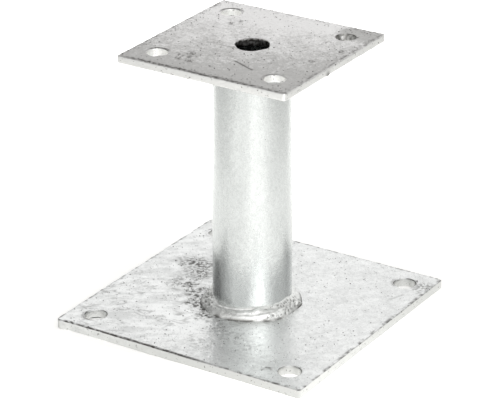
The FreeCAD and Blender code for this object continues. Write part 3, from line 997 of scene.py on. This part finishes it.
# %% Bead tree
tree, given = new_tree("weld_bead", ("Tube radius", "Float"), ("Leg", "Float"),
                       ("Hidden share", "Float"), ("Finish", "Material"))
ring = add(tree, "GeometryNodeCurvePrimitiveCircle",
           {"Resolution": 300, "Radius": given["Tube radius"]})
section = add(tree, "GeometryNodeCurvePrimitiveCircle", {"Resolution": 72, "Radius": 1.0})
place = add(tree, "GeometryNodeInputPosition").outputs[0]
hidden = add(tree, "ShaderNodeMath", {0: given["Hidden share"], 1: -1.0}, operation="MULTIPLY")
least = add(tree, "ShaderNodeCombineXYZ", {"X": hidden.outputs[0], "Y": hidden.outputs[0]})
squared = add(tree, "ShaderNodeVectorMath", {0: place, 1: least.outputs[0]}, operation="MAXIMUM")
trimmed = add(tree, "GeometryNodeSetPosition",
              {"Geometry": section.outputs[0], "Position": squared.outputs[0]})
scale = add(tree, "ShaderNodeCombineXYZ", {"X": given["Leg"], "Y": given["Leg"], "Z": 1.0})
sized = add(tree, "GeometryNodeTransform",
            {"Geometry": trimmed.outputs[0], "Scale": scale.outputs[0]})
swept = add(tree, "GeometryNodeCurveToMesh",
            {"Curve": ring.outputs[0], "Profile Curve": sized.outputs[0]})
close_tree(tree, swept.outputs[0], given["Finish"])
weld_tree = tree
print("bead tree has", len(weld_tree.nodes), "nodes")


# %% [markdown]
# ## Modelling the beads
#
# A welder stops, starts and turns the part, so no two places of a bead are alike. Noise alone gives
# an even unrest and no such history. Here tables say what the bead does at each angle round the
# tube, counted from +X, and the code shapes the swept bead to them. Angles are in degrees, lengths
# in millimetres, and a slope of 0 is the toe on the plate while 90 is the toe on the tube.

# %% Reading a table all the way round
def at_angle(table, angles):
    """Reads the columns of a table of (angle, value, ...) at those angles, smoothly."""
    table = np.array(sorted(table), float)
    before, after = table[-1].copy(), table[0].copy()
    before[0] -= 360
    after[0] += 360
    wrapped = np.vstack([before, table, after])
    fine = np.arange(-360, 720)
    window = np.hanning(15) / np.hanning(15).sum()
    columns = []
    for column in range(1, table.shape[1]):
        values = np.interp(fine % 360, wrapped[:, 0], wrapped[:, column])
        columns.append(np.interp(angles, fine, np.convolve(values, window, "same")))
    return columns


print("between 350 and 10 a table gives", at_angle([(10, 2.0), (350, 4.0)], [0])[0].round(2))

# %% Modelling a bead
PAUSE = 13.4  # degrees round the tube between two pauses of the torch
GIRTH_RADIUS, FACE_WIDTH = 25, 6  # mm, which turn angles and slopes on the bead into distances


def model_bead(mesh, leg, legs, root, climbs, creases, pits, seed):
    """Gives a swept bead its legs, its full face, ripples, creases, lumps and pits, and paints shade
    along its toe on the plate and in its creases.

    climbs is 1 where the bead climbs the tube upwards from the plate at height root, and -1 where
    it hangs down. A crease is (start angle, end angle, start slope, end slope, depth, half width),
    and pits are (middle angle, spread, how many).
    """
    points = np.array([v.co for v in mesh.vertices]) / MM
    angles = np.degrees(np.arctan2(points[:, 1], points[:, 0])) % 360
    out, climb = np.hypot(points[:, 0], points[:, 1]) - tube_radius, -points[:, 2]
    slope = np.degrees(np.arctan2(climb, out))
    c, s = np.cos(np.radians(slope)), np.sin(np.radians(slope))
    seen = (out > 1e-3) & (climb > 1e-3)
    where = np.column_stack([points[:, 0], points[:, 1], climb])

    def from_mark(angle, tilt):
        """Distance of each point from the place on the bead at that angle and slope."""
        return np.hypot(np.radians(turn_between(angles, angle)) * GIRTH_RADIUS,
                        np.radians(slope - tilt) * FACE_WIDTH)

    # the section between the two legs, from a flat face to a round one
    on_plate, on_tube, fullness = at_angle(legs, angles)
    flat = 1 / np.maximum(c / on_plate + s / on_tube, 1e-6)
    round_ = 1 / np.sqrt((c / on_plate) ** 2 + (s / on_tube) ** 2)
    reach = flat + (round_ - flat) * fullness

    # the ripples of the pauses, which bend back at both toes, and uneven zinc over them
    face = np.sin(np.radians(np.clip(slope, 0, 90)) * 2)
    chevron = angles + 0.004 * (slope - 45) ** 2
    pause = np.abs(np.sin(np.radians(chevron * 360 / PAUSE / 2)))
    reach += face * 0.14 * (pause - 0.6) * np.clip(0.6 + bumps(where, 14, seed), 0, 1.3)
    reach += face * 0.32 * bumps(where, 6, seed + 1) + 0.30 * bumps(where, 2.6, seed + 2)
    reach += 0.12 * bumps(where, 1.2, seed + 3)

    # a painted contact shadow along the toe on the plate, and a dull place on the left
    toe_shadow = np.exp(-(slope / 9) ** 2) * (out > 0)
    stain_and_shade = toe_shadow * np.clip(0.65 + 1.5 * bumps(where, 4, seed + 5), 0.1, 0.95)
    dull = 0.22 * np.exp(-(turn_between(angles, 216) / 17) ** 2) * (climbs > 0)
    stain_and_shade = np.maximum(stain_and_shade, dull)

    # each crease is cut into the bead and darkened with painted shade
    for start, end, low, high, depth, width in creases:
        share = turn_between(angles, start) / turn_between(end, start)
        fade = np.clip(np.minimum(share, 1 - share) * 6, 0, 1)
        line = low + (high - low) * np.clip(share, 0, 1) + 5 * bumps(where, 5, seed + 4)
        cut = fade * np.exp(-((slope - line) / width) ** 2)
        reach -= depth * cut
        stain_and_shade = np.maximum(stain_and_shade, 0.35 * cut)

    # each pit gets a lump beside it
    random = np.random.default_rng(seed)
    for centre, spread, count in pits:
        for _ in range(count):
            angle, tilt = centre + random.normal(0, spread), random.uniform(8, 80)
            size = random.uniform(0.35, 0.8)
            dip = np.exp(-(from_mark(angle, tilt) / size) ** 2)
            reach -= 0.9 * size * dip
            stain_and_shade = np.maximum(stain_and_shade, 0.8 * dip)
            angle, tilt = angle + random.normal(0, 4), tilt + random.normal(0, 14)
            reach += 0.8 * size * np.exp(-(from_mark(angle, tilt) / (1.2 * size)) ** 2)

    # the part inside the steel only follows the legs
    out = np.where(seen, reach * c, np.where(out > 0, out * on_plate / leg, out))
    climb = np.where(seen, reach * s, np.where(climb > 0, climb * on_tube / leg, climb))
    radius = tube_radius + out
    turn = np.radians(angles)
    points = np.column_stack([radius * np.cos(turn), radius * np.sin(turn), root + climbs * climb])
    mesh.vertices.foreach_set("co", (points * MM).ravel())
    return finished(mesh, {"stain_and_shade": stain_and_shade})


print("the torch pauses", round(360 / PAUSE), "times round the tube")

# %% Base weld
BASE_LEG, HEAD_LEG = 6.3, 4.6  # the legs of both beads before they are modelled, in mm
bead = {"Tube radius": tube_radius * MM, "Hidden share": 0.2, "Finish": zinc_on_weld}
base_legs = [  # angle from +X, leg on the plate, leg on the tube, fullness from 0 (flat) to 1 (round)
    (2, 5.6, 6.6, 0.35), (15, 6.2, 5.0, 0.25), (32, 5.2, 3.2, 0.2), (60, 5.2, 4.2, 0.4),
    (90, 6.2, 5.6, 0.6), (135, 6.2, 6.2, 0.6), (175, 6.0, 6.0, 0.4), (195, 5.2, 5.4, 0.1),
    (208, 6.0, 5.2, 0.0), (219, 7.4, 5.0, 0.0), (232, 7.3, 4.4, 0.3), (250, 7.6, 4.2, 0.6),
    (268, 7.4, 4.3, 0.62), (284, 6.6, 5.0, 0.6), (299, 5.8, 5.3, 0.65), (312, 6.0, 6.0, 0.6),
    (322, 7.2, 5.9, 0.5), (338, 7.4, 5.8, 0.45), (350, 6.0, 6.0, 0.4),
]
base_creases = [
    (240, 314, 46, 80, 0.9, 7), (262, 345, 20, 52, 0.20, 6), (310, 368, 70, 40, 0.45, 8),
    (60, 150, 60, 40, 0.6, 9), (140, 200, 35, 60, 0.5, 9),
]
base_pits = [(4, 14, 30), (222, 10, 24), (345, 12, 12), (120, 60, 14)]
mesh = grow("base_weld_zinc", weld_tree, {**bead, "Leg": BASE_LEG * MM})
mesh = model_bead(mesh, BASE_LEG, base_legs, base_high[2], 1, base_creases, base_pits, 41)
as_piece("base_weld_zinc", mesh, zinc_on_weld, "galvanised_weld", "base_weld")

# %% Head weld
head_legs = [
    (20, 4.4, 4.9, 0.6), (80, 4.0, 5.4, 0.5), (140, 4.6, 4.7, 0.6),
    (200, 4.9, 4.2, 0.6), (250, 5.6, 4.6, 0.7), (310, 5.0, 4.3, 0.5),
]
head_creases = [(20, 120, 50, 35, 0.4, 9), (150, 240, 40, 60, 0.5, 9), (270, 350, 60, 40, 0.4, 9)]
head_pits = [(250, 12, 8)]
mesh = grow("head_weld_zinc", weld_tree, {**bead, "Leg": HEAD_LEG * MM})
mesh = model_bead(mesh, HEAD_LEG, head_legs, head_low[2], -1, head_creases, head_pits, 51)
as_piece("head_weld_zinc", mesh, zinc_on_weld, "galvanised_weld", "head_weld")

# %% [markdown]
# ## Dross
#
# Dross is iron and zinc that crystallised in the bath. It sticks to the coat as low, hard pimples,
# thin on the ground in most places and crowded in a few. The smallest real ones are a tenth of a
# millimetre across, too fine to show, so here they start at a third of a millimetre. A bump pattern
# would be cheaper, but it casts no shadows. Geometry Nodes scatter the pimples over a plate's own
# mesh, with the density that the relief stored.

# %% Dross tree
tree, given = new_tree("dross_pimples", ("Plate", "Geometry"), ("Most per square metre", "Float"),
                       ("Smallest", "Float"), ("Largest", "Float"), ("Seed", "Int"),
                       ("Finish", "Material"))
crowd = add(tree, "GeometryNodeInputNamedAttribute", {"Name": "dross"}, data_type="FLOAT")
density = add(tree, "ShaderNodeMath", {0: crowd.outputs[0], 1: given["Most per square metre"]},
              operation="MULTIPLY")
scattered = add(tree, "GeometryNodeDistributePointsOnFaces", {"Mesh": given["Plate"],
                "Density": density.outputs[0], "Seed": given["Seed"]})
grain = add(tree, "GeometryNodeMeshUVSphere", {"Segments": 6, "Rings": 4, "Radius": 1.0})
size = add(tree, "FunctionNodeRandomValue",
           {2: given["Smallest"], 3: given["Largest"], "Seed": given["Seed"]}, data_type="FLOAT")
low = add(tree, "ShaderNodeMath", {0: size.outputs[1], 1: 0.5}, operation="MULTIPLY")
shape = add(tree, "ShaderNodeCombineXYZ",
            {"X": size.outputs[1], "Y": size.outputs[1], "Z": low.outputs[0]})
placed = add(tree, "GeometryNodeInstanceOnPoints", {"Points": scattered.outputs["Points"],
             "Instance": grain.outputs["Mesh"], "Rotation": scattered.outputs["Rotation"],
             "Scale": shape.outputs[0]})
darkness = add(tree, "FunctionNodeRandomValue", {2: 0.0, 3: 1.0, "Seed": 7}, data_type="FLOAT")
darkened = add(tree, "GeometryNodeStoreNamedAttribute", {"Geometry": placed.outputs[0], "Name": "stain_and_shade",
               "Value": darkness.outputs[1]}, data_type="FLOAT", domain="INSTANCE")
close_tree(tree, darkened.outputs[0], given["Finish"])
print("dross tree has", len(tree.nodes), "nodes")

# %% Scatter the dross
MOST = 250000.0  # pimples on a square metre where the dross is thickest
SMALLEST, LARGEST = 0.16 * MM, 0.44 * MM  # their radii

for plate, finish, seed in ((base_plate, zinc_on_base, 3), (head_plate, zinc_on_head, 4)):
    name = plate.name.replace("plate_zinc", "plate_dross")
    mesh = grow(name, tree, {"Most per square metre": MOST, "Smallest": SMALLEST,
                "Largest": LARGEST, "Seed": seed, "Finish": finish}, plate.data)
    as_piece(name, mesh, finish, "galvanised_plate")

# %% [markdown]
# ## Size
#
# Both boxes are kept side by side: the one of the CAD bodies, and the one of the pieces that
# replaced them. The zinc and its lumps lie on the steel, so the second box is larger, by about a
# millimetre at the most.

# %% Measure and print both boxes
visual_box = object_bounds()
for label, (low, high) in (("CAD", cad_box), ("visual", visual_box)):
    print(label, "box in mm:", [round((b - a) / MM, 1) for a, b in zip(low, high)])
